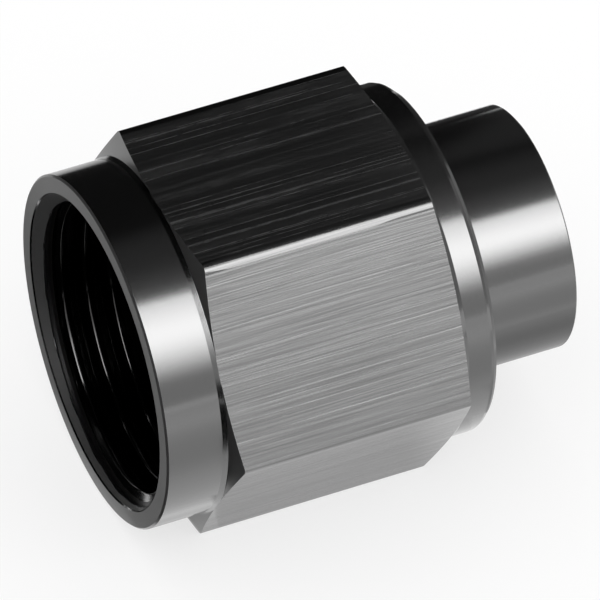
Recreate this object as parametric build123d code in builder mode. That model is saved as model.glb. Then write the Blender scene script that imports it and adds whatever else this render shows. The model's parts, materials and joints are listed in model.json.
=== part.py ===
# Threaded protection cap for a 37 degree flare fitting, turned from one length of hexagon bar.
# Millimetres. +X runs along the axis from the open mouth to the boss, and the cap lies on one
# flat of its hexagon, so that flat is at Z = 0. The origin is the middle of the base.
import os
from math import cos, radians, tan

from build123d import *

# Hexagon bar
across_flats = 25.4
hex_edge_radius = 0.5

# Lengths along the axis
collar_length = 4.4
hex_length = 17.7
shoulder_length = 2.0
boss_length = 7.7

# Turned diameters
collar_diameter = 25.2
shoulder_diameter = 25.0
boss_diameter = 17.4

# Turned edges: the cone that takes off the hexagon's corners leans this far from square. The
# shoulder's far edge is broken in two steps, a shallow one and a steeper one
corner_cone_angle = 13.0
mouth_edge_break = 0.14
shoulder_lead_length = 0.22
shoulder_lead_drop = 0.07
shoulder_chamfer_length = 0.28
shoulder_chamfer_drop = 0.24
boss_edge_chamfer = 0.1

# Narrow bevel that the tool leaves in each inner corner, along the axis and outwards
corner_bevel_length = 0.32
corner_bevel_rise = 0.14

# Internal thread, 7/8-14 UNF: the wall is at the thread's major diameter, and the mouth chamfer
# and the relief groove reach these depths beyond it. The 45 degree chamfer stops short of the face
# and leaves a thin lip, which leans in by a small amount
thread_diameter = 22.225
thread_length = 13.6
mouth_chamfer_depth = 0.2625
mouth_lip_depth = 0.12
mouth_lip_lean = 0.06
relief_depth = 0.2375
relief_length = 2.0

# Seat for the fitting's cone: the angle is from the axis
seat_angle = 37.0
seat_outer_diameter = 19.6
seat_inner_diameter = 11.0

# Sizes that follow from those above
apothem = across_flats / 2
corner_reach = apothem / cos(radians(30))
cone_slope = tan(radians(corner_cone_angle))
hex_end = collar_length + hex_length
shoulder_end = hex_end + shoulder_length
lead_end = shoulder_end + shoulder_lead_length
body_length = lead_end + shoulder_chamfer_length
total_length = body_length + boss_length
front_cone_length = (corner_reach - collar_diameter / 2) * cone_slope
rear_cone_length = (corner_reach - shoulder_diameter / 2) * cone_slope
bevel_on_cone = corner_bevel_rise * cone_slope
lead_radius = shoulder_diameter / 2 - shoulder_lead_drop
thread_radius = thread_diameter / 2
lip_radius = thread_radius + mouth_chamfer_depth - mouth_lip_depth
relief_radius = thread_radius + relief_depth
relief_end = thread_length + relief_length
seat_depth = (seat_outer_diameter - seat_inner_diameter) / 2 / tan(radians(seat_angle))
bore_end = relief_end + seat_depth

# Turned profiles are drawn with distance from the mouth across and radius up
profile_plane = Plane(
    origin=(-total_length / 2, 0, apothem), x_dir=(1, 0, 0), z_dir=(0, -1, 0)
)
turning_axis = Axis((0, 0, apothem), (1, 0, 0))
mouth_plane = Plane(
    origin=(-total_length / 2, 0, apothem), x_dir=(0, 1, 0), z_dir=(1, 0, 0)
)

with BuildPart() as cap:
    # Bar stock, with its long edges lightly rounded
    with BuildSketch(mouth_plane) as bar_section:
        RegularPolygon(radius=apothem, side_count=6, major_radius=False)
    extrude(amount=total_length)
    fillet(cap.edges().filter_by(Axis.X), radius=hex_edge_radius)

    # Outside turned in one setting: collar, corner cones, shoulder and boss
    with BuildSketch(profile_plane) as outside:
        with BuildLine():
            Polyline(
                (0, 0),
                (0, collar_diameter / 2 - mouth_edge_break),
                (mouth_edge_break, collar_diameter / 2),
                (collar_length - corner_bevel_length, collar_diameter / 2),
                (collar_length + bevel_on_cone, collar_diameter / 2 + corner_bevel_rise),
                (collar_length + front_cone_length, corner_reach),
                (hex_end - rear_cone_length, corner_reach),
                (hex_end - bevel_on_cone, shoulder_diameter / 2 + corner_bevel_rise),
                (hex_end + corner_bevel_length, shoulder_diameter / 2),
                (shoulder_end, shoulder_diameter / 2),
                (lead_end, lead_radius),
                (body_length, lead_radius - shoulder_chamfer_drop),
                (body_length, boss_diameter / 2 + corner_bevel_rise),
                (body_length + corner_bevel_length, boss_diameter / 2),
                (total_length - boss_edge_chamfer, boss_diameter / 2),
                (total_length, boss_diameter / 2 - boss_edge_chamfer),
                (total_length, 0),
                close=True,
            )
        make_face()
    revolve(axis=turning_axis, mode=Mode.INTERSECT)

    # Inside: lip, mouth chamfer, thread wall, thread relief and the cone seat's blind end
    with BuildSketch(profile_plane) as inside:
        with BuildLine():
            Polyline(
                (0, 0),
                (0, lip_radius + mouth_lip_lean),
                (mouth_lip_depth, lip_radius),
                (mouth_chamfer_depth, thread_radius),
                (thread_length, thread_radius),
                (thread_length, relief_radius),
                (relief_end, relief_radius),
                (relief_end, seat_outer_diameter / 2),
                (bore_end, seat_inner_diameter / 2),
                (bore_end, 0),
                close=True,
            )
        make_face()
    revolve(axis=turning_axis, mode=Mode.SUBTRACT)

cap.part.label = "cap"

os.makedirs("parts", exist_ok=True)
export_step(cap.part, "parts/cap.step")
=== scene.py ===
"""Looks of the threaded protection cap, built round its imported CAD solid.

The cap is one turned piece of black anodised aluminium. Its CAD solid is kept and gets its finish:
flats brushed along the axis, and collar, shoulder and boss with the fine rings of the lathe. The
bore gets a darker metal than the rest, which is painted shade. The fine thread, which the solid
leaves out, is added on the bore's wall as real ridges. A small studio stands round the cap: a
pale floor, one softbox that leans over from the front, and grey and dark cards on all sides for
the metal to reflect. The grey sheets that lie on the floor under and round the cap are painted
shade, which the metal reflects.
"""

import json
import logging
import math
from dataclasses import dataclass, field, replace
from enum import Enum

import bmesh
import bpy
from mathutils import Matrix, Vector


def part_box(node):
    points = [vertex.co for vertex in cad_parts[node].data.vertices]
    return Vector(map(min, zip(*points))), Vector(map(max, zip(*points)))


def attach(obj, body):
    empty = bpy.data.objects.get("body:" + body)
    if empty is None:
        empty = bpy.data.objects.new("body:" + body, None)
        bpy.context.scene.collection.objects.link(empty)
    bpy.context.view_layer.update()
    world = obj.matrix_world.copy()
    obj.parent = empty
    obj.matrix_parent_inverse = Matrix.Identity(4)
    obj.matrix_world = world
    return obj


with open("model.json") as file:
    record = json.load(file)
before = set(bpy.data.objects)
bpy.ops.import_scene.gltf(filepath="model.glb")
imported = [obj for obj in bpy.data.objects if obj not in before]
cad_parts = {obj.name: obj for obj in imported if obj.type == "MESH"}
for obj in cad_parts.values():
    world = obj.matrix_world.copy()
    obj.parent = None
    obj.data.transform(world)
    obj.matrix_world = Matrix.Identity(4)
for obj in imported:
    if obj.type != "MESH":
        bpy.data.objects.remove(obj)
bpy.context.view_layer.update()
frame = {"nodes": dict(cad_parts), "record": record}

log = logging.getLogger("cap_scene")

MM = 0.001
INCH_IN_MM = 25.4
HEXAGON_SIDES = 6
WHITE = (1.0, 1.0, 1.0, 1.0)
CAP_NODE = "cap"
BODY = "root"
SLOT = "anodised_aluminium"

# Limits of the zones. FAR lies beyond every part of the cap, for a side that is left open. The
# others are squarenesses: a wall along the axis lies below ALONG_AXIS, a 45 degree chamfer between
# LEANING and SQUARE, and a face that is square to the axis, or nearly so, above SQUARE
FAR = 2.0
ALONG_AXIS = 0.3
LEANING = 0.6
SQUARE = 0.8


class ThreadHand(Enum):
    """Which way a thread turns as it goes in."""

    RIGHT = 1
    LEFT = -1


def linear(hex_colour: str) -> tuple[float, float, float, float]:
    """Turn an sRGB hex colour into the linear colour that a shader takes.

    Args:
        hex_colour: A colour such as "#6a6a6c".

    Returns:
        Linear red, green, blue and an alpha of 1.
    """
    # The numbers below are those of the sRGB curve itself
    channels = [int(hex_colour[i : i + 2], 16) / 255 for i in (1, 3, 5)]
    red, green, blue = (
        c / 12.92 if c <= 0.04045 else ((c + 0.055) / 1.055) ** 2.4 for c in channels
    )
    return red, green, blue, 1.0


def add_node(
    tree: bpy.types.NodeTree, kind: str, inputs: dict | None = None, **settings: object
) -> bpy.types.Node:
    """Add a node with its settings and its links.

    The inputs of a Mix node share their names, so they go by number: 0 is the share of the second
    value, 2 and 3 are two numbers, 4 and 5 two vectors, and 6 and 7 two colours. Of its outputs, 0
    gives a number, 1 a vector and 2 a colour.

    Args:
        tree: The node tree to add to.
        kind: The node's type, such as "ShaderNodeMath".
        inputs: What each input gets, by its name or number: a value, a socket to link, or a node
            whose first output is linked.
        settings: The node's own properties, such as its operation.

    Returns:
        The new node.
    """
    node = tree.nodes.new(kind)
    for name, value in settings.items():
        setattr(node, name, value)
    for name, value in (inputs or {}).items():
        if isinstance(value, bpy.types.Node):
            value = value.outputs[0]
        if isinstance(value, bpy.types.NodeSocket):
            tree.links.new(value, node.inputs[name])
        else:
            node.inputs[name].default_value = value
    return node


def new_material(name: str) -> bpy.types.Material:
    """Make a material with an empty node tree.

    Args:
        name: The material's name.

    Returns:
        The material, which still needs its output node.
    """
    material = bpy.data.materials.new(name)
    material.use_nodes = True
    material.node_tree.nodes.clear()
    return material


def new_object(name: str, mesh: bmesh.types.BMesh, material: bpy.types.Material) -> bpy.types.Object:
    """Make an object of a finished bmesh, at the origin, and free the bmesh.

    Args:
        name: The object's name.
        mesh: The shape, already in its place.
        material: What it is made of.

    Returns:
        The linked object.
    """
    data = bpy.data.meshes.new(name)
    mesh.to_mesh(data)
    mesh.free()
    data.materials.append(material)
    obj = bpy.data.objects.new(name, data)
    bpy.context.scene.collection.objects.link(obj)
    return obj


@dataclass(frozen=True)
class CapSizes:
    """The cap's own sizes that its finish and its thread follow, in metres.

    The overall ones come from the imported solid; the others repeat the solid's driving sizes.
    """

    mouth_x: float
    axis_z: float
    thread_radius: float
    thread_length: float
    collar_length: float = 4.4 * MM
    hex_length: float = 17.7 * MM
    hex_edge_radius: float = 0.5 * MM
    mouth_chamfer_depth: float = 0.2625 * MM
    mouth_edge_break: float = 0.14 * MM

    @classmethod
    def from_frame(cls) -> "CapSizes":
        """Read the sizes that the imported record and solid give.

        Returns:
            The sizes, with those that the record doesn't give at their own values.
        """
        low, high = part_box(CAP_NODE)
        mounts = {m["name"]: m for m in frame["record"]["mounts"]}
        thread = mounts["thread"]
        wall = thread["dims"]["length_mm"] * MM
        middle = thread["pos_m"][0] - low.x
        return cls(
            mouth_x=low.x,
            axis_z=(low.z + high.z) / 2,
            thread_radius=thread["dims"]["r_mm"] * MM,
            thread_length=middle + wall / 2,
        )

    @property
    def mouth_radius(self) -> float:
        """Radius at which the mouth's chamfer would meet the face."""
        return self.thread_radius + self.mouth_chamfer_depth

    @property
    def half_flat(self) -> float:
        """Half the width of a flat between its rounded edges."""
        return (self.axis_z - self.hex_edge_radius) * math.tan(math.pi / HEXAGON_SIDES)

    @property
    def flat_edge_radius(self) -> float:
        """Distance from the axis at which a flat meets its rounded edge."""
        return math.hypot(self.axis_z, self.half_flat)


@dataclass(frozen=True)
class SurfacePoint:
    """Where on the cap a shaded point lies, as outputs of nodes.

    Centred is the point itself, measured from the middle of the mouth, and across is its part that
    is square to the axis. Depth is the distance from the mouth along the axis, and radius the
    distance from the axis. Travel is the two added: it changes along collar, faces and cones, which
    places their lathe rings, and stays the same on the mouth's chamfer, which tells that apart.
    """

    tree: bpy.types.NodeTree
    centred: bpy.types.Node
    depth: bpy.types.NodeSocket
    height: bpy.types.NodeSocket
    across: bpy.types.Node
    radius: bpy.types.NodeSocket
    travel: bpy.types.Node
    normal: bpy.types.NodeSocket
    squareness: bpy.types.Node

    @classmethod
    def read(cls, tree: bpy.types.NodeTree, sizes: CapSizes) -> "SurfacePoint":
        """Add the nodes that find the place of a shaded point on the cap.

        Args:
            tree: The material's node tree.
            sizes: Where the axis and the mouth are.

        Returns:
            The outputs that the zones and patterns read.
        """
        place = add_node(tree, "ShaderNodeTexCoord")
        to_mouth = (-sizes.mouth_x, 0.0, -sizes.axis_z)
        centred = add_node(
            tree, "ShaderNodeMapping", {"Vector": place.outputs["Object"], "Location": to_mouth}
        )
        parts = add_node(tree, "ShaderNodeSeparateXYZ", {0: centred})
        depth, height = parts.outputs["X"], parts.outputs["Z"]
        across = add_node(tree, "ShaderNodeCombineXYZ", {"Y": parts.outputs["Y"], "Z": height})
        length = add_node(tree, "ShaderNodeVectorMath", {0: across}, operation="LENGTH")
        radius = length.outputs["Value"]
        normal = add_node(tree, "ShaderNodeNewGeometry").outputs["Normal"]
        facing = add_node(tree, "ShaderNodeSeparateXYZ", {0: normal})
        return cls(
            tree=tree,
            centred=centred,
            depth=depth,
            height=height,
            across=across,
            radius=radius,
            travel=add_node(tree, "ShaderNodeMath", {0: depth, 1: radius}, operation="ADD"),
            normal=normal,
            squareness=add_node(
                tree, "ShaderNodeMath", {0: facing.outputs["X"]}, operation="ABSOLUTE"
            ),
        )


@dataclass(frozen=True)
class Zone:
    """A kind of surface, told by its depth, height, radius, travel and how square it stands.

    Squareness runs from 0 on a wall along the axis to 1 on a face square to it.
    """

    depth: tuple[float, float] = (-FAR, FAR)
    height: tuple[float, float] = (-FAR, FAR)
    radius: tuple[float, float] = (-FAR, FAR)
    travel: tuple[float, float] = (-FAR, FAR)
    squareness: tuple[float, float] = (-FAR, FAR)

    def build(self, point: SurfacePoint) -> bpy.types.Node:
        """Add the zone's mask.

        Args:
            point: The place of the shaded point.

        Returns:
            A node that gives 1 within all the limits and 0 elsewhere.
        """
        mask: bpy.types.Node | float = 1.0
        for value, (low, high) in (
            (point.depth, self.depth),
            (point.height, self.height),
            (point.radius, self.radius),
            (point.travel, self.travel),
            (point.squareness, self.squareness),
        ):
            limits = {0: value, 1: (low + high) / 2, 2: (high - low) / 2}
            inside = add_node(point.tree, "ShaderNodeMath", limits, operation="COMPARE")
            mask = add_node(point.tree, "ShaderNodeMath", {0: inside, 1: mask}, operation="MULTIPLY")
        return mask


@dataclass(frozen=True)
class Marks:
    """A pattern of marks: noise drawn out along the axis and kept between two levels.

    The length and the width are real sizes, and the levels say how much of the surface is marked.
    Detail and roughness say how many finer marks lie within a mark, and how strong they are. The
    shift sets a pattern apart from the others.
    """

    length: float
    width: float
    low: float = 0.0
    high: float = 1.0
    shift: float = 0.0
    detail: float = 2.0
    roughness: float = 0.6

    def build(self, point: SurfacePoint) -> bpy.types.Node:
        """Add the pattern.

        Args:
            point: The place of the shaded point.

        Returns:
            A node that gives 0 between the marks and 1 on them.
        """
        place = add_node(
            point.tree,
            "ShaderNodeMapping",
            {
                "Vector": point.centred,
                "Location": (self.shift, self.shift, self.shift),
                "Scale": (1 / self.length, 1 / self.width, 1 / self.width),
            },
        )
        noise = add_node(
            point.tree,
            "ShaderNodeTexNoise",
            {"Vector": place, "Scale": 1.0, "Detail": self.detail, "Roughness": self.roughness},
        )
        return add_node(
            point.tree,
            "ShaderNodeMapRange",
            {"Value": noise, "From Min": self.low, "From Max": self.high},
            interpolation_type="SMOOTHSTEP",
        )


@dataclass(frozen=True)
class Finish:
    """How one kind of surface takes the light.

    Dullness is the share that scatters light evenly, and oxide how clear and thick its skin is.
    """

    colour: str
    dullness: float
    roughness: float
    oxide: float


@dataclass(frozen=True)
class BlackAnodised:
    """Black anodised aluminium: bar stock brushed on its flats and turned elsewhere.

    The dyed oxide darkens the metal's own reflection, and the sealed surface of the oxide adds a
    clear, thinner one over it. The eye gets a dark metal with crisp bright bands on the turned
    surfaces and fine dull lines on the flats. The front cones and the mouth's outer edge, ring and
    chamfer are cut coarser, so they stay an even grey. The bore gets a darker metal, which is
    painted shade and keeps it black. Its first turns get a rougher metal that is painted less dark.
    """

    name: str = SLOT
    metal: str = "#686868"
    oxide_ior: float = 1.7
    oxide_roughness: float = 0.12
    anisotropy: float = 0.6
    turned_roughness: float = 0.16
    grain_roughness: float = 0.06
    grain_dullness: float = 0.02
    flat_metal_low: str = "#737373"
    flat_metal_high: str = "#8d8d8d"
    flat_roughness: float = 0.24
    flat_dullness: float = 0.005
    roughness_per_dullness: float = 0.5
    flat_oxide: float = 0.65
    bare_metal: str = "#b0b0b0"
    front_edges: Finish = Finish("#707070", dullness=0.15, roughness=0.3, oxide=0.4)
    # The bore's darker metal is painted shade, which keeps the inside black
    bore: Finish = Finish("#303030", dullness=0.0, roughness=0.14, oxide=1.0)
    edge: Finish = Finish("#606060", dullness=0.0, roughness=0.22, oxide=1.0)
    # The mouth's first turns are rougher, and their darker metal is painted shade too, lighter than the
    # bore's
    entry: Finish = Finish("#505050", dullness=0.03, roughness=0.35, oxide=0.2)
    chamfer: Finish = Finish("#747474", dullness=0.15, roughness=0.55, oxide=0.15)
    ring: Finish = Finish("#7e7e7e", dullness=0.55, roughness=0.6, oxide=0.15)
    # The real brushing and grain are finer than the picture can show, so they are drawn coarser
    brushing: Marks = Marks(length=9 * MM, width=0.13 * MM, low=0.2, high=0.8)
    scratches: Marks = Marks(length=40 * MM, width=0.16 * MM, low=0.58, high=0.7, shift=0.37, detail=1.0)
    bands: Marks = Marks(length=24 * MM, width=0.9 * MM, low=0.42, high=0.66, shift=0.71)
    speckle: Marks = Marks(length=1.6 * MM, width=0.09 * MM, low=0.3, high=0.72, shift=0.13)
    dashes: Marks = Marks(length=2.2 * MM, width=0.09 * MM, low=0.72, high=0.84, shift=0.59)
    unevenness: Marks = Marks(length=0.6 * MM, width=0.6 * MM)
    grain: Marks = Marks(length=0.09 * MM, width=0.09 * MM, low=0.3, high=0.8)
    scratch_dullness: float = 0.1
    scratch_speckle: float = 0.6
    band_dullness: float = 0.05
    dash_dullness: float = 0.06
    brushing_height: float = 0.0046 * MM
    scratch_depth: float = 0.002 * MM
    unevenness_height: float = 0.001 * MM
    # The lathe's rings are finer than the picture can show too, so they are drawn coarser
    ring_pitch: float = 0.12 * MM
    ring_height: float = 0.0004 * MM
    # The long edges are worn from the collar on, and less again near the shoulder. Each change
    # runs over a stretch measured from the collar's end, and the tilt is in degrees
    worn_width: float = 0.25 * MM
    worn_tilt: float = 9.0
    worn_start: tuple[float, float] = (-0.2 * MM, 2.8 * MM)
    worn_end: tuple[float, float] = (12.6 * MM, 15.0 * MM)
    worn_end_share: float = 0.5
    # Borders between the finishes, measured from the cap's own sizes
    margin: float = 0.01 * MM
    mouth_wall: float = 0.5 * MM
    collar_wall: float = 1.3 * MM
    cone_lead: float = 0.1 * MM
    cone_length: float = 0.8 * MM
    thread_margin: float = 0.3 * MM
    entry_depth: float = 2.2 * MM
    chamfer_depth: float = 1.2 * MM
    ring_overlap: float = 0.1 * MM

    def flats(self, sizes: CapSizes) -> Zone:
        """Find the flats of the hexagon.

        Args:
            sizes: Where the hexagon and the mouth are.

        Returns:
            The zone of all six, with the rounded edges between them.
        """
        return Zone(
            depth=(sizes.collar_length, sizes.collar_length + sizes.hex_length),
            radius=(sizes.mouth_radius + self.mouth_wall, FAR),
            squareness=(-FAR, ALONG_AXIS),
        )

    def covers(self, sizes: CapSizes) -> tuple[tuple[Zone, Finish], ...]:
        """Pair the zones that have a finish of their own with it.

        Args:
            sizes: Where the hexagon, the mouth and the bore are.

        Returns:
            Zones and finishes, in the order in which they go on, each over those before it.
        """
        flats = self.flats(sizes)
        cone_end = sizes.mouth_radius + 2 * self.margin
        face_depth = (-FAR, sizes.mouth_edge_break + self.margin)
        edge = replace(
            flats,
            height=(sizes.axis_z / 2, FAR),
            radius=(sizes.flat_edge_radius - self.worn_width / 2, FAR),
        )
        front_cones = Zone(
            depth=(sizes.collar_length - self.cone_lead, sizes.collar_length + self.cone_length),
            radius=(sizes.mouth_radius + self.collar_wall, FAR),
            squareness=(LEANING, FAR),
        )
        rim = Zone(depth=face_depth, radius=flats.radius, squareness=(LEANING, SQUARE))
        bore = Zone(
            depth=(-FAR, flats.depth[1]),
            radius=(-FAR, sizes.thread_radius + self.thread_margin),
            travel=(cone_end, FAR),
        )
        entry = Zone(
            depth=(-FAR, self.entry_depth),
            radius=(sizes.thread_radius - self.thread_margin, bore.radius[1]),
            travel=bore.travel,
        )
        chamfer = Zone(
            depth=(-FAR, self.chamfer_depth), travel=(-FAR, cone_end), squareness=(LEANING, FAR)
        )
        ring = Zone(
            depth=face_depth,
            radius=(sizes.mouth_radius - self.ring_overlap, FAR),
            squareness=(SQUARE, FAR),
        )
        return (
            (edge, self.edge),
            (front_cones, self.front_edges),
            (rim, self.front_edges),
            (bore, self.bore),
            (entry, self.entry),
            (chamfer, self.chamfer),
            (ring, self.ring),
        )

    def flat_marks(
        self, point: SurfacePoint, scratches: bpy.types.Node, dashes: bpy.types.Node
    ) -> bpy.types.Node:
        """Add up the dull marks of the flats.

        Args:
            point: The place of the shaded point.
            scratches: The pattern of long scratches.
            dashes: The pattern of short, deep scratches.

        Returns:
            A node that gives the flats' dullness.
        """
        tree = point.tree
        speckle = self.speckle.build(point)
        broken_share = self.scratch_speckle * self.scratch_dullness
        even_share = (1 - self.scratch_speckle) * self.scratch_dullness
        broken = add_node(
            tree,
            "ShaderNodeMath",
            {0: speckle, 1: broken_share, 2: even_share},
            operation="MULTIPLY_ADD",
        )
        grained = add_node(
            tree, "ShaderNodeMath", {0: speckle, 1: self.band_dullness}, operation="MULTIPLY"
        )
        dullness: bpy.types.Node | float = self.flat_dullness
        for pattern, amount in (
            (scratches, broken),
            (self.bands.build(point), grained),
            (dashes, self.dash_dullness),
        ):
            dullness = add_node(
                tree, "ShaderNodeMath", {0: pattern, 1: amount, 2: dullness}, operation="MULTIPLY_ADD"
            )
        return dullness

    def worn_edge(self, point: SurfacePoint, sizes: CapSizes) -> bpy.types.Node:
        """Tilt the flats towards the long edges above the axis, which are worn in the middle.

        Args:
            point: The place of the shaded point.
            sizes: Where the hexagon and its corners are.

        Returns:
            A node that gives the height lost.
        """
        tree = point.tree
        edge_start = sizes.flat_edge_radius
        radius_per_width = sizes.half_flat / edge_start
        starts_wearing = add_node(
            tree,
            "ShaderNodeMapRange",
            {
                "Value": point.depth,
                "From Min": sizes.collar_length + self.worn_start[0],
                "From Max": sizes.collar_length + self.worn_start[1],
                "To Min": edge_start,
                "To Max": edge_start - self.worn_width * radius_per_width,
            },
            interpolation_type="SMOOTHSTEP",
        )
        less_behind = add_node(
            tree,
            "ShaderNodeMapRange",
            {
                "Value": point.depth,
                "From Min": sizes.collar_length + self.worn_end[0],
                "From Max": sizes.collar_length + self.worn_end[1],
                "To Max": self.worn_end_share * self.worn_width * radius_per_width,
            },
            interpolation_type="SMOOTHSTEP",
        )
        start = add_node(
            tree, "ShaderNodeMath", {0: starts_wearing, 1: less_behind}, operation="ADD"
        )
        beyond = add_node(
            tree, "ShaderNodeMath", {0: point.radius, 1: start}, operation="SUBTRACT"
        )
        worn = add_node(tree, "ShaderNodeMath", {0: beyond, 1: 0.0}, operation="MAXIMUM")
        upper = add_node(
            tree, "ShaderNodeMath", {0: point.height, 1: sizes.axis_z / 2}, operation="GREATER_THAN"
        )
        slope = -math.tan(math.radians(self.worn_tilt)) / radius_per_width
        sloped = add_node(tree, "ShaderNodeMath", {0: upper, 1: slope}, operation="MULTIPLY")
        return add_node(tree, "ShaderNodeMath", {0: worn, 1: sloped}, operation="MULTIPLY")

    def relief(
        self,
        point: SurfacePoint,
        sizes: CapSizes,
        flat: bpy.types.Node,
        brushing: bpy.types.Node,
        scratches: bpy.types.Node,
    ) -> bpy.types.Node:
        """Add the fine relief: brushing and scratches on the flats, lathe rings elsewhere.

        Args:
            point: The place of the shaded point.
            sizes: Where the hexagon and its corners are.
            flat: The mask of the flats.
            brushing: The pattern of fine brushing.
            scratches: The pattern of long scratches.

        Returns:
            A bump node.
        """
        tree = point.tree
        flat_relief: bpy.types.Node = self.worn_edge(point, sizes)
        for pattern, height in ((brushing, self.brushing_height), (scratches, -self.scratch_depth)):
            flat_relief = add_node(
                tree, "ShaderNodeMath", {0: pattern, 1: height, 2: flat_relief}, operation="MULTIPLY_ADD"
            )
        phase = add_node(
            tree,
            "ShaderNodeMath",
            {0: point.travel, 1: 2 * math.pi / self.ring_pitch},
            operation="MULTIPLY",
        )
        wave = add_node(tree, "ShaderNodeMath", {0: phase}, operation="SINE")
        rings = add_node(
            tree, "ShaderNodeMath", {0: wave, 1: self.ring_height}, operation="MULTIPLY"
        )
        turned_relief = add_node(
            tree,
            "ShaderNodeMath",
            {0: self.unevenness.build(point), 1: self.unevenness_height, 2: rings},
            operation="MULTIPLY_ADD",
        )
        height = add_node(
            tree, "ShaderNodeMix", {0: flat, 2: turned_relief, 3: flat_relief}, data_type="FLOAT"
        )
        # A distance of 1 takes the heights as they are, in metres
        return add_node(tree, "ShaderNodeBump", {"Height": height, "Strength": 1.0, "Distance": 1.0})

    def tangent(self, point: SurfacePoint, flat: bpy.types.Node) -> bpy.types.Node:
        """Spread highlights across the marks: round the axis on the flats, along it elsewhere.

        Args:
            point: The place of the shaded point.
            flat: The mask of the flats.

        Returns:
            A node that gives the direction in which a highlight spreads.
        """
        tree = point.tree
        round_axis = add_node(
            tree,
            "ShaderNodeVectorMath",
            {0: (1.0, 0.0, 0.0), 1: point.across},
            operation="CROSS_PRODUCT",
        )
        cross_rings = add_node(
            tree,
            "ShaderNodeVectorMath",
            {0: point.normal, 1: round_axis},
            operation="CROSS_PRODUCT",
        )
        direction = add_node(
            tree, "ShaderNodeMix", {0: flat, 4: cross_rings, 5: round_axis}, data_type="VECTOR"
        )
        return add_node(
            tree, "ShaderNodeVectorMath", {0: direction.outputs[1]}, operation="NORMALIZE"
        )

    def build(self, sizes: CapSizes) -> bpy.types.Material:
        """Build the material.

        Args:
            sizes: Where the axis, the flats and the bore are.

        Returns:
            A procedural material that reads object coordinates.
        """
        material = new_material(self.name)
        tree = material.node_tree
        point = SurfacePoint.read(tree, sizes)
        flat = self.flats(sizes).build(point)
        covers = [(zone.build(point), finish) for zone, finish in self.covers(sizes)]
        brushing = self.brushing.build(point)
        scratches = self.scratches.build(point)
        grain = self.grain.build(point)
        turned_dullness = add_node(
            tree, "ShaderNodeMath", {0: grain, 1: self.grain_dullness}, operation="MULTIPLY"
        )
        turned_roughness = add_node(
            tree,
            "ShaderNodeMath",
            {0: grain, 1: self.grain_roughness, 2: self.turned_roughness},
            operation="MULTIPLY_ADD",
        )
        dashes = self.dashes.build(point)
        flat_dullness = self.flat_marks(point, scratches, dashes)
        flat_roughness = add_node(
            tree,
            "ShaderNodeMath",
            {0: flat_dullness, 1: self.roughness_per_dullness, 2: self.flat_roughness},
            operation="MULTIPLY_ADD",
        )
        # The flats go over the turned metal
        dullness = add_node(
            tree, "ShaderNodeMix", {0: flat, 2: turned_dullness, 3: flat_dullness}, data_type="FLOAT"
        )
        roughness = add_node(
            tree, "ShaderNodeMix", {0: flat, 2: turned_roughness, 3: flat_roughness}, data_type="FLOAT"
        )
        brushed = add_node(
            tree,
            "ShaderNodeMix",
            {0: brushing, 6: linear(self.flat_metal_low), 7: linear(self.flat_metal_high)},
            data_type="RGBA",
        ).outputs[2]
        flat_colour = add_node(
            tree,
            "ShaderNodeMix",
            {0: dashes, 6: brushed, 7: linear(self.bare_metal)},
            data_type="RGBA",
        ).outputs[2]
        colour = add_node(
            tree, "ShaderNodeMix", {0: flat, 6: linear(self.metal), 7: flat_colour}, data_type="RGBA"
        ).outputs[2]
        thinned = add_node(
            tree,
            "ShaderNodeMath",
            {0: brushing, 1: 1 - self.flat_oxide, 2: self.flat_oxide},
            operation="MULTIPLY_ADD",
        )
        oxide = add_node(tree, "ShaderNodeMix", {0: flat, 2: 1.0, 3: thinned}, data_type="FLOAT")
        # The other finishes go over both, one after another
        for mask, finish in covers:
            colour = add_node(
                tree, "ShaderNodeMix", {0: mask, 6: colour, 7: linear(finish.colour)}, data_type="RGBA"
            ).outputs[2]
            dullness, roughness, oxide = (
                add_node(tree, "ShaderNodeMix", {0: mask, 2: below, 3: cover}, data_type="FLOAT")
                for below, cover in (
                    (dullness, finish.dullness),
                    (roughness, finish.roughness),
                    (oxide, finish.oxide),
                )
            )
        metallic = add_node(tree, "ShaderNodeMath", {0: 1.0, 1: dullness}, operation="SUBTRACT")
        bump = self.relief(point, sizes, flat, brushing, scratches)
        shader = add_node(
            tree,
            "ShaderNodeBsdfPrincipled",
            {
                "Base Color": colour,
                "Metallic": metallic,
                "Roughness": roughness,
                "Anisotropic": self.anisotropy,
                "Coat Weight": oxide,
                "Coat Roughness": self.oxide_roughness,
                "Coat IOR": self.oxide_ior,
                "Normal": bump,
                "Coat Normal": bump,
                "Tangent": self.tangent(point, flat),
            },
        )
        add_node(tree, "ShaderNodeOutputMaterial", {"Surface": shader})
        return material


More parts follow.
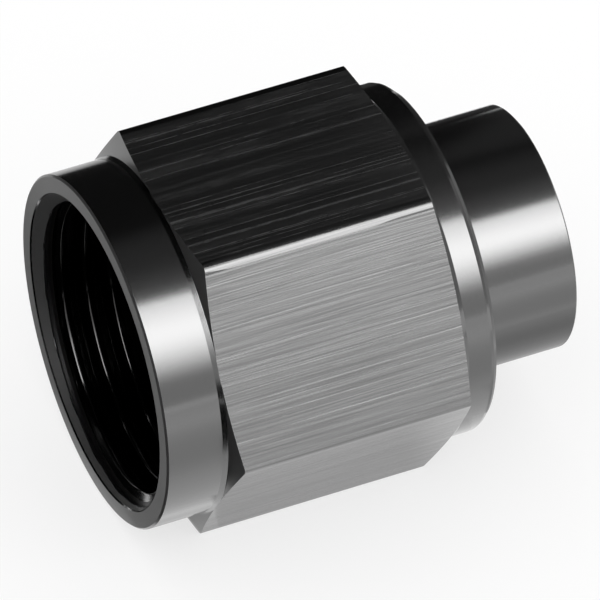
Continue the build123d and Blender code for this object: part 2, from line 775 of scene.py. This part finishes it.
@dataclass
class InternalThread:
    """The right-hand 7/8-14 UNF thread, as ridges that stand on the bore's wall.

    The ridges are sunk a little into the wall, so nothing shows between the two, and they start
    just inside the mouth. Angles are in degrees.
    """

    sizes: CapSizes
    material: bpy.types.Material
    name: str = "cap_thread"
    hand: ThreadHand = ThreadHand.RIGHT
    turns_per_inch: int = 14
    flank_half_angle: float = 30.0
    crest_width: float = 0.58 * MM
    crest_rounding: float = 0.8 * MM
    crest_edge: float = 0.05 * MM
    root_share: float = 1 / 8
    sunk: float = 0.05 * MM
    set_back: float = 0.03 * MM
    steps_per_turn: int = 96
    flank_rows: int = 10
    crest_rows: int = 4
    start_angle: float = 37.0
    smooth_angle: float = 35.0
    shape: bmesh.types.BMesh = field(default_factory=bmesh.new)

    @property
    def pitch(self) -> float:
        """How far the thread goes in with each turn."""
        return INCH_IN_MM / self.turns_per_inch * MM

    @property
    def root_width(self) -> float:
        """Width of the bare wall between neighbouring turns."""
        return self.pitch * self.root_share

    @property
    def crest_radius(self) -> float:
        """Radius of the ridge's top, from its flanks and the width left on top."""
        flank_width = (self.pitch - self.root_width - self.crest_width) / 2
        return self.sizes.thread_radius - flank_width / math.tan(math.radians(self.flank_half_angle))

    def section(self) -> list[bmesh.types.BMEdge]:
        """Draw the ridge's section as a closed ring of edges.

        Returns:
            The ring's edges, with the flanks cut into rows.
        """
        base = (self.pitch - self.root_width) / 2
        lean = math.tan(math.radians(self.flank_half_angle))
        crest_end = math.asin((self.crest_width / 2 - self.crest_edge) / self.crest_rounding)
        dropped = self.crest_rounding * (1 - math.cos(crest_end)) + self.crest_edge
        # Half of the section, from its foot in the wall over the flank and up the rounded crest
        half = [
            (base, self.sizes.thread_radius + self.sunk),
            (base, self.sizes.thread_radius),
            (self.crest_width / 2 + dropped * lean, self.crest_radius + dropped),
        ]
        for row in range(self.crest_rows, 0, -1):
            angle = crest_end * row / self.crest_rows
            drop = self.crest_rounding * (1 - math.cos(angle))
            half.append((self.crest_rounding * math.sin(angle), self.crest_radius + drop))
        middle = [(0.0, self.crest_radius)]
        corners = [(-along, radius) for along, radius in half] + middle + half[::-1]
        start = self.sizes.mouth_x - self.pitch / 2
        vertices = [
            self.shape.verts.new((start + along, 0.0, self.sizes.axis_z + radius))
            for along, radius in corners
        ]
        edges = [
            self.shape.edges.new((a, b)) for a, b in zip(vertices, vertices[1:] + vertices[:1])
        ]
        # The second edge runs up one flank, and the last but two down the other
        flanks = [edges[1], edges[-3]]
        bmesh.ops.subdivide_edges(self.shape, edges=flanks, cuts=self.flank_rows)
        return list(self.shape.edges)

    def trim(self) -> None:
        """Cut the ridge back to the mouth's chamfer and to the end of the thread."""
        mouth = self.sizes.mouth_x
        first = mouth + self.set_back
        last = mouth + self.sizes.thread_length
        for vertex in self.shape.verts:
            radial = Vector((0.0, vertex.co.y, vertex.co.z - self.sizes.axis_z))
            radius = radial.length
            x = min(max(vertex.co.x, first), last)
            # No part of the ridge comes nearer to the axis than the mouth's chamfer, and what is
            # sunk in the wall or cut off before the mouth stays behind the chamfer
            cone = self.sizes.mouth_radius - (x - mouth)
            if vertex.co.x < first or radius > self.sizes.thread_radius + self.sunk / 2:
                cone += self.sunk
            radial *= max(radius, cone) / radius
            vertex.co = (x, radial.y, radial.z + self.sizes.axis_z)

    def build(self) -> bpy.types.Object:
        """Wind the section round the axis, trim it and close it.

        Returns:
            The thread's object, riding on the cap's body.
        """
        # The ridge starts half a turn before the mouth and ends half a turn late, to be trimmed
        length = self.sizes.thread_length + self.pitch
        turns = length / self.pitch
        steps = round(turns * self.steps_per_turn)
        edges = self.section()
        vertices = list(self.shape.verts)
        centre = (0.0, 0.0, self.sizes.axis_z)
        bmesh.ops.rotate(
            self.shape,
            verts=vertices,
            cent=centre,
            matrix=Matrix.Rotation(math.radians(self.start_angle), 3, "X"),
        )
        bmesh.ops.spin(
            self.shape,
            geom=vertices + edges,
            cent=centre,
            axis=(1.0, 0.0, 0.0),
            dvec=(length / steps, 0.0, 0.0),
            angle=self.hand.value * turns * 2 * math.pi,
            steps=steps,
            use_merge=False,
        )
        open_ends = [e for e in self.shape.edges if e.is_boundary]
        bmesh.ops.holes_fill(self.shape, edges=open_ends, sides=0)
        self.trim()
        bmesh.ops.recalc_face_normals(self.shape, faces=self.shape.faces)
        for face in self.shape.faces:
            face.smooth = True
        for edge in self.shape.edges:
            edge.smooth = edge.calc_face_angle(0.0) < math.radians(self.smooth_angle)
        thread = new_object(self.name, self.shape, self.material)
        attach(thread, BODY)
        return thread


@dataclass(frozen=True)
class PhotoCamera:
    """The photograph's view: a long lens above the mouth's side of the cap.

    Azimuth, elevation and roll are in degrees.
    """

    azimuth: float = -24.8
    elevation: float = 44.1
    roll: float = 1.36
    distance: float = 762 * MM
    focal_mm: float = 670.5
    sensor_mm: float = 36.0
    clip_ratio: float = 100.0
    aim: tuple[float, float, float] = (-2.39 * MM, -3.49 * MM, 15.64 * MM)

    def build(self) -> bpy.types.Object:
        """Make the camera and hand it to the scene.

        Returns:
            The camera's object, aimed and turned.
        """
        data = bpy.data.cameras.new("photo_camera")
        data.lens = self.focal_mm
        data.sensor_width = self.sensor_mm
        data.clip_start = self.distance / self.clip_ratio
        data.clip_end = self.distance * self.clip_ratio
        azimuth = math.radians(self.azimuth)
        elevation = math.radians(self.elevation)
        back = Vector(
            (
                math.sin(azimuth) * math.cos(elevation),
                -math.cos(azimuth) * math.cos(elevation),
                math.sin(elevation),
            )
        )
        turn = (-back).to_track_quat("-Z", "Y").to_matrix()
        lean = Matrix.Rotation(math.radians(self.roll), 3, "Z")
        camera = bpy.data.objects.new("photo_camera", data)
        camera.matrix_world = Matrix.Translation(
            Vector(self.aim) + back * self.distance
        ) @ (turn @ lean).to_4x4()
        bpy.context.scene.collection.objects.link(camera)
        bpy.context.scene.camera = camera
        return camera


def seen_directly(tree: bpy.types.NodeTree) -> bpy.types.Node:
    """Tell the rays that show a thing to the eye, or in metal or glass, from those that light.

    Args:
        tree: The node tree to add to.

    Returns:
        A node that gives 1 for camera, glossy and transmission rays.
    """
    path = add_node(tree, "ShaderNodeLightPath")
    seen: bpy.types.Node | float = 0.0
    for ray in ("Is Camera Ray", "Is Glossy Ray", "Is Transmission Ray"):
        seen = add_node(tree, "ShaderNodeMath", {0: seen, 1: path.outputs[ray]}, operation="MAXIMUM")
    return seen


@dataclass(frozen=True)
class Card:
    """A flat card in the studio that the camera doesn't see: a softbox, a grey or a dark one.

    Its glow changes smoothly between stops. Each stop is a place along one of the room's axes and
    a strength, where 1 is as white as the surround. Its floor share is how much of the glow also
    lights the floor and other dull surfaces. The grey cards that lie on the floor under and round
    the cap are painted shade of the floor there, which the metal reflects.
    """

    name: str
    centre: tuple[float, float, float]
    target: tuple[float, float, float]
    width: float
    height: float
    stops: tuple[tuple[float, float], ...]
    stops_along: str = "Z"
    floor_share: float = 0.0

    def glow(self) -> bpy.types.Material:
        """Build the card's glow.

        Returns:
            A material whose strength follows the stops.
        """
        material = new_material(self.name)
        tree = material.node_tree
        place = add_node(tree, "ShaderNodeTexCoord")
        parts = add_node(tree, "ShaderNodeSeparateXYZ", {0: place.outputs["Object"]})
        strength: bpy.types.Node | float = self.stops[0][1]
        for (start, low), (end, high) in zip(self.stops, self.stops[1:]):
            step = add_node(
                tree,
                "ShaderNodeMapRange",
                {
                    "Value": parts.outputs[self.stops_along],
                    "From Min": start,
                    "From Max": end,
                    "To Max": high - low,
                },
                interpolation_type="SMOOTHSTEP",
            )
            strength = add_node(tree, "ShaderNodeMath", {0: strength, 1: step}, operation="ADD")
        path = add_node(tree, "ShaderNodeLightPath")
        share = add_node(
            tree,
            "ShaderNodeMapRange",
            {"Value": path.outputs["Is Diffuse Ray"], "To Min": 1.0, "To Max": self.floor_share},
        )
        shown = add_node(tree, "ShaderNodeMath", {0: strength, 1: share}, operation="MULTIPLY")
        light = add_node(tree, "ShaderNodeEmission", {"Color": WHITE, "Strength": shown})
        add_node(tree, "ShaderNodeOutputMaterial", {"Surface": light})
        return material

    def build(self) -> bpy.types.Object:
        """Make the card, facing its target.

        Returns:
            The card's object, which the camera doesn't see.
        """
        # A grid of half a metre either way is a metre wide, so the scales are the card's sizes
        shape = bmesh.new()
        bmesh.ops.create_grid(shape, x_segments=1, y_segments=1, size=0.5)
        bmesh.ops.scale(shape, vec=(self.width, self.height, 1.0), verts=shape.verts)
        turn = (Vector(self.target) - Vector(self.centre)).to_track_quat("Z", "Y").to_matrix()
        bmesh.ops.transform(
            shape,
            matrix=Matrix.Translation(Vector(self.centre)) @ turn.to_4x4(),
            verts=shape.verts,
        )
        card = new_object(self.name, shape, self.glow())
        card.visible_camera = False
        card.visible_shadow = False
        card.visible_diffuse = self.floor_share > 0
        return card


# The softbox is bright above, which gives the turned surfaces their bright band. Below that it is
# dim, for the dark band under the bright one, and its foot is brighter again
SOFTBOX = Card(
    name="softbox",
    centre=(8 * MM, -157.5 * MM, 90.5 * MM),
    target=(57 * MM, -51.5 * MM, -26.5 * MM),
    width=218 * MM,
    height=250 * MM,
    stops=((15 * MM, 1.3), (18 * MM, 0.65), (66 * MM, 0.65), (135 * MM, 4.8), (178 * MM, 3.6)),
    floor_share=0.4,
)
# Carries the softbox's dim stretch on to its right, for the shoulder and the boss
GREY_CARD_BESIDE_SOFTBOX = Card(
    name="grey_card_beside_softbox",
    centre=(104 * MM, -259 * MM, 39 * MM),
    target=(153 * MM, -153 * MM, -78 * MM),
    width=42 * MM,
    height=60 * MM,
    stops=((0.0, 0.62),),
)
DARK_CARD_BEHIND = Card(
    name="dark_card_behind",
    centre=(-42 * MM, 70 * MM, 150 * MM),
    target=(-42 * MM, 0.0, 150 * MM),
    width=160 * MM,
    height=300 * MM,
    stops=((0.0, 0.01),),
)
DARK_CARD_ABOVE = Card(
    name="dark_card_above",
    centre=(30 * MM, 60 * MM, 300 * MM),
    target=(30 * MM, 60 * MM, 0.0),
    width=600 * MM,
    height=400 * MM,
    stops=((-140 * MM, 0.24), (20 * MM, 0.08), (200 * MM, 0.02)),
    stops_along="Y",
)
DARK_CARD_LEFT = Card(
    name="dark_card_left",
    centre=(-60 * MM, -20 * MM, 50 * MM),
    target=(0.0, -20 * MM, 50 * MM),
    width=100 * MM,
    height=100 * MM,
    stops=((0.0, 0.0),),
)
DARK_CARD_FRONT_LEFT = Card(
    name="dark_card_front_left",
    centre=(-120 * MM, -143 * MM, 30 * MM),
    target=(-50 * MM, -73 * MM, 30 * MM),
    width=300 * MM,
    height=60 * MM,
    stops=((0.0, 0.0),),
)
DARK_CARD_ON_FLOOR = Card(
    name="dark_card_on_floor",
    centre=(-46 * MM, -55 * MM, 0.5 * MM),
    target=(-46 * MM, -55 * MM, 50 * MM),
    width=58 * MM,
    height=170 * MM,
    stops=((0.0, 0.003),),
)
DARK_CARD_ABOVE_MOUTH = Card(
    name="dark_card_above_mouth",
    centre=(-39 * MM, 26 * MM, 60 * MM),
    target=(-39 * MM, 26 * MM, 0.0),
    width=44 * MM,
    height=88 * MM,
    stops=((0.0, 0.0),),
)
# Painted shadow of the cap on the floor behind it, darkest to the right where the cap's shadow falls, for
# the metal to reflect
PAINTED_SHADOW_BEHIND = Card(
    name="painted_shadow_behind",
    centre=(10 * MM, 70 * MM, 0.5 * MM),
    target=(10 * MM, 70 * MM, 50 * MM),
    width=240 * MM,
    height=70 * MM,
    stops=((-5 * MM, 0.6), (15 * MM, 0.04)),
    stops_along="X",
)
# Painted shade of the floor in front of the cap, darkest a little way out from it, for the metal to
# reflect
PAINTED_SHADE_IN_FRONT = Card(
    name="painted_shade_in_front",
    centre=(14 * MM, -43.5 * MM, 0.7 * MM),
    target=(14 * MM, -43.5 * MM, 50 * MM),
    width=60 * MM,
    height=63 * MM,
    stops=((-75 * MM, 1.0), (-27 * MM, 0.72), (-17 * MM, 0.88)),
    stops_along="Y",
)
# Painted shade of the floor under the boss, darker in under the cap, for the boss's lower side to reflect
PAINTED_SHADE_UNDER_BOSS = Card(
    name="painted_shade_under_boss",
    centre=(19 * MM, -10 * MM, 0.8 * MM),
    target=(19 * MM, -10 * MM, 50 * MM),
    width=14 * MM,
    height=20 * MM,
    stops=((-20 * MM, 0.7), (-12 * MM, 0.45)),
    stops_along="Y",
)
GREY_CARD_RIGHT = Card(
    name="grey_card_right",
    centre=(160 * MM, -65 * MM, 100 * MM),
    target=(0.0, -65 * MM, 100 * MM),
    width=170 * MM,
    height=200 * MM,
    stops=((0.0, 0.4), (200 * MM, 0.36)),
)
GREY_CARD_FAR_RIGHT = Card(
    name="grey_card_far_right",
    centre=(146 * MM, 40.5 * MM, 100 * MM),
    target=(47 * MM, -26.5 * MM, 100 * MM),
    width=50 * MM,
    height=200 * MM,
    stops=((15 * MM, 0.36), (80 * MM, 0.1)),
)
DARK_CARD_RIGHT = Card(
    name="dark_card_right",
    centre=(85 * MM, 130.5 * MM, 100 * MM),
    target=(-14 * MM, 63.5 * MM, 100 * MM),
    width=168 * MM,
    height=200 * MM,
    stops=((0.0, 0.06),),
)
GREY_CARD_ON_FLOOR_RIGHT = Card(
    name="grey_card_on_floor_right",
    centre=(91 * MM, -8 * MM, 0.5 * MM),
    target=(91 * MM, -8 * MM, 50 * MM),
    width=146 * MM,
    height=64 * MM,
    stops=((18 * MM, 0.8), (36 * MM, 0.45), (160 * MM, 0.4)),
    stops_along="X",
)
# Painted shade of the floor under the hexagon, darker towards the mouth, for the lower flat to reflect
PAINTED_SHADE_UNDER_HEXAGON = Card(
    name="painted_shade_under_hexagon",
    centre=(-0.25 * MM, -8.75 * MM, 0.3 * MM),
    target=(-0.25 * MM, -8.75 * MM, 50 * MM),
    width=19.5 * MM,
    height=7.5 * MM,
    stops=((4 * MM, 0.52), (9.5 * MM, 0.77)),
    stops_along="X",
)
# Painted shade of the floor under the collar's lower corner, darkening in under the cap, for the collar
# and corner cone to reflect
PAINTED_SHADE_UNDER_CORNER = Card(
    name="painted_shade_under_corner",
    centre=(-12.25 * MM, -7.25 * MM, 0.3 * MM),
    target=(-12.25 * MM, -7.25 * MM, 50 * MM),
    width=4.5 * MM,
    height=6.5 * MM,
    stops=((-10.5 * MM, 1.0), (-8.3 * MM, 0.62), (-5 * MM, 0.4)),
    stops_along="Y",
)


@dataclass(frozen=True)
class Studio:
    """The pale floor, the cards and the light that comes from all round."""

    floor_size: float = 4.0
    floor_colour: str = "#fafafa"
    floor_whiteness: float = 0.7
    cards: tuple[Card, ...] = (
        SOFTBOX,
        GREY_CARD_BESIDE_SOFTBOX,
        DARK_CARD_BEHIND,
        DARK_CARD_ABOVE,
        DARK_CARD_LEFT,
        DARK_CARD_FRONT_LEFT,
        DARK_CARD_ON_FLOOR,
        DARK_CARD_ABOVE_MOUTH,
        PAINTED_SHADOW_BEHIND,
        PAINTED_SHADE_IN_FRONT,
        PAINTED_SHADE_UNDER_BOSS,
        PAINTED_SHADE_UNDER_HEXAGON,
        PAINTED_SHADE_UNDER_CORNER,
        GREY_CARD_RIGHT,
        GREY_CARD_FAR_RIGHT,
        DARK_CARD_RIGHT,
        GREY_CARD_ON_FLOOR_RIGHT,
    )

    def floor(self) -> bpy.types.Object:
        """Lay the floor that the cap lies on.

        Returns:
            The floor's object: white where it shows, with the cap's soft shadow.
        """
        material = new_material("pale_paper")
        tree = material.node_tree
        lit = add_node(tree, "ShaderNodeBsdfDiffuse", {"Color": linear(self.floor_colour)})
        white = add_node(tree, "ShaderNodeEmission", {"Color": WHITE})
        share = add_node(
            tree, "ShaderNodeMath", {0: seen_directly(tree), 1: self.floor_whiteness}, operation="MULTIPLY"
        )
        paper = add_node(tree, "ShaderNodeMixShader", {0: share, 1: lit, 2: white})
        add_node(tree, "ShaderNodeOutputMaterial", {"Surface": paper})
        shape = bmesh.new()
        bmesh.ops.create_grid(shape, x_segments=1, y_segments=1, size=self.floor_size / 2)
        floor = new_object("floor", shape, material)
        return floor

    def world(self) -> None:
        """Give the scene its pale surround, which is white to every ray."""
        world = bpy.data.worlds.new("pale_surround")
        bpy.context.scene.world = world
        world.use_nodes = True
        tree = world.node_tree
        tree.nodes.clear()
        glow = add_node(tree, "ShaderNodeBackground", {"Color": WHITE})
        add_node(tree, "ShaderNodeOutputWorld", {"Surface": glow})

    def build(self) -> None:
        """Set up everything round the cap."""
        self.floor()
        self.world()
        for card in self.cards:
            card.build()


def main() -> None:
    """Dress the cap, add its thread, and set up the studio and the camera."""
    logging.basicConfig(level=logging.INFO, format="%(name)s: %(message)s")
    bpy.context.scene.view_settings.view_transform = "Standard"
    sizes = CapSizes.from_frame()
    finish = BlackAnodised().build(sizes)
    frame["nodes"][CAP_NODE].material_slots[0].material = finish
    log.info("%s: finished in %s", CAP_NODE, finish.name)
    thread = InternalThread(sizes, finish).build()
    log.info("%s: %d faces", thread.name, len(thread.data.polygons))
    Studio().build()
    PhotoCamera().build()


if __name__ == "__main__":
    main()
